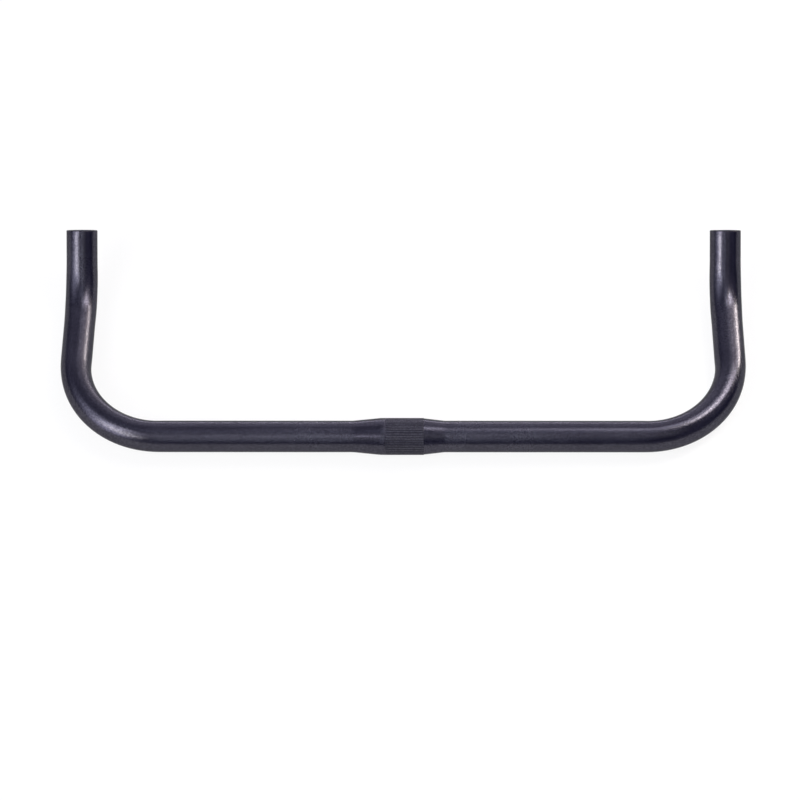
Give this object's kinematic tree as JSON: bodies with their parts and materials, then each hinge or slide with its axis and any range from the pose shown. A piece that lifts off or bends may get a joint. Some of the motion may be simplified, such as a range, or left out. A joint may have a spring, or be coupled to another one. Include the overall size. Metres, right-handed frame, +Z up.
{
  "type": "bullhorn handlebar",
  "caption": "Bent and swaged bullhorn bicycle handlebar: one hollow black alloy tube with a knurled clamp sleeve, forward horns and rising open tips.",
  "frame": {"origin": "on the clamp axis, midway between the horns", "axes": "+X along the clamp axis towards the rider's right horn, +Y forward along the horns, +Z up, with the bar lying on a table on its clamp sleeve and the undersides of its horns"},
  "size_m": [0.4862, 0.1775, 0.047],
  "materials": {
    "bar": "satin black, fine blasted grain"
  },
  "bodies": {
    "root": {"handlebar": "bar"}
  },
  "joints": []
}
